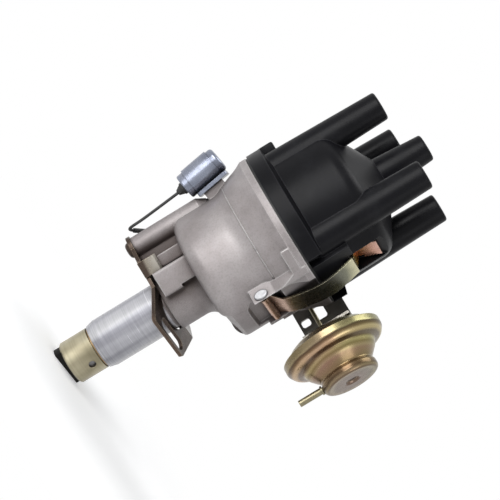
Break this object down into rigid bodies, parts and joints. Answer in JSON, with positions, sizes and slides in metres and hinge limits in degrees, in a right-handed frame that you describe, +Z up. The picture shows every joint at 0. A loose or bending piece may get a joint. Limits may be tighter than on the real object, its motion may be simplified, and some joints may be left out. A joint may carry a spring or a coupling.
{
  "type": "ignition distributor",
  "caption": "Contact-breaker ignition distributor with a black towered cap, cast body, shank with drive tongue, side condenser and a vacuum advance capsule.",
  "frame": {"origin": "on the shaft axis, at the underside of the clamp plate (top of the pilot shank)", "axes": "+Z up the shaft to the cap; -Y is the side the picture shows; +X is the side with the vacuum unit, as seen in the picture once stood upright"},
  "size_m": [0.1493, 0.0943, 0.2234],
  "materials": {
    "cast_aluminium": "satin",
    "cap_plastic": "satin",
    "yellow_zinc": "satin",
    "olive_zinc": "satin",
    "bronze_zinc": "satin",
    "silver_zinc": "satin",
    "steel": "polished",
    "dark_steel": "satin",
    "bronze": "satin",
    "brass": "polished",
    "black_rubber": "matte",
    "red_fibre": "matte",
    "carbon": "matte",
    "felt": "matte",
    "rotor_plastic": "satin"
  },
  "bodies": {
    "housing": {"housing": "cast_aluminium", "clamp_plate": "bronze_zinc", "clamp_plate_screw": "bronze_zinc", "cap_seal_ring": "black_rubber", "hinge_pin_right": "steel", "hinge_pin_left": "steel", "condenser_can": "silver_zinc", "condenser_strap": "silver_zinc", "condenser_screw": "steel", "condenser_grommet": "black_rubber", "condenser_lead": "black_rubber", "lead_connector": "black_rubber", "terminal_insulator": "red_fibre", "terminal_stud": "brass", "lower_bush": "bronze", "upper_bush": "bronze", "breaker_base_plate": "yellow_zinc", "base_plate_screws": "steel", "vacuum_front_shell": "yellow_zinc", "vacuum_rear_shell": "yellow_zinc", "diaphragm": "black_rubber", "diaphragm_spring": "steel", "vacuum_bracket": "olive_zinc", "vacuum_bracket_screws": "steel", "hose_nipple": "yellow_zinc"},
    "shaft": {"drive_shaft": "steel", "drive_collar": "dark_steel", "collar_pin": "steel", "lower_thrust_washer": "bronze", "upper_thrust_washer": "bronze", "governor_base_plate": "steel", "governor_spring_a": "steel", "governor_spring_b": "steel", "cam_screw": "steel"},
    "cam": {"cam_sleeve": "steel", "oil_felt": "felt", "rotor_body": "rotor_plastic", "rotor_contact": "brass"},
    "breaker_plate": {"breaker_moving_plate": "yellow_zinc", "breaker_pivot_post": "steel", "fixed_contact": "steel", "contact_screw": "steel", "breaker_leaf_spring": "steel", "spring_anchor": "red_fibre"},
    "cap": {"distributor_cap": "cap_plastic", "cap_electrodes": "brass", "centre_terminal": "brass", "brush_spring": "steel"},
    "weight_a": {"governor_weight_a": "steel"},
    "weight_b": {"governor_weight_b": "steel"},
    "arm": {"breaker_arm": "red_fibre"},
    "clip_right": {"retaining_clip_right": "olive_zinc"},
    "clip_left": {"retaining_clip_left": "olive_zinc"},
    "rod": {"pull_rod": "yellow_zinc"},
    "brush": {"carbon_brush": "carbon"}
  },
  "joints": [
    {"name": "shaft_spin", "type": "hinge", "parent": "housing", "child": "shaft", "pos_m": [0, 0, 0], "axis": [0, 0, 1], "continuous": true},
    {"name": "cam_advance", "type": "hinge", "parent": "shaft", "child": "cam", "pos_m": [0, 0, 0], "axis": [0, 0, 1], "range_deg": [0, 12], "deforming": ["governor_spring_a", "governor_spring_b"]},
    {"name": "weight_a_swing", "type": "hinge", "parent": "shaft", "child": "weight_a", "pos_m": [0, 0.018, 0], "axis": [0, 0, -1], "range_deg": [0, 9.6]},
    {"name": "weight_b_swing", "type": "hinge", "parent": "shaft", "child": "weight_b", "pos_m": [0, -0.018, 0], "axis": [0, 0, -1], "range_deg": [0, 9.6]},
    {"name": "breaker_plate_turn", "type": "hinge", "parent": "housing", "child": "breaker_plate", "pos_m": [0, 0, 0], "axis": [0, 0, -1], "range_deg": [0, 8]},
    {"name": "breaker_arm_swing", "type": "hinge", "parent": "breaker_plate", "child": "arm", "pos_m": [-0.021, 0.013, 0.067], "axis": [0, 0, -1], "range_deg": [0, 8], "stiffness_Nm_per_rad": 0.2, "springref_deg": -28.65, "deforming": ["breaker_leaf_spring"]},
    {"name": "pull_rod_slide", "type": "slide", "parent": "housing", "child": "rod", "axis": [0.9272, -0.3746, 0], "range_m": [0, 0.00443], "deforming": ["diaphragm", "diaphragm_spring"]},
    {"name": "cap_lift", "type": "slide", "parent": "housing", "child": "cap", "axis": [0, 0, 1], "range_m": [0, 0.04]},
    {"name": "clip_right_swing", "type": "hinge", "parent": "housing", "child": "clip_right", "pos_m": [0.03048, -0.0176, 0.0479], "axis": [0.5, 0.866, 0], "range_deg": [0, 90]},
    {"name": "clip_left_swing", "type": "hinge", "parent": "housing", "child": "clip_left", "pos_m": [-0.03048, 0.0176, 0.0479], "axis": [-0.5, -0.866, 0], "range_deg": [0, 90]},
    {"name": "brush_slide", "type": "slide", "parent": "cap", "child": "brush", "axis": [0, 0, 1], "range_m": [0, 0.003], "stiffness_N_per_m": 60, "springref_m": -0.005, "deforming": ["brush_spring"]}
  ],
  "couplings": [
    {"joint": "weight_a_swing", "follows": "cam_advance", "ratio": 0.8},
    {"joint": "weight_b_swing", "follows": "cam_advance", "ratio": 0.8},
    {"joint": "pull_rod_slide", "follows": "breaker_plate_turn", "m_per_rad": 0.0317},
    {"joint": "clip_right_swing", "follows": "cap_lift", "rad_per_m": 39.26},
    {"joint": "clip_left_swing", "follows": "cap_lift", "rad_per_m": 39.26}
  ]
}
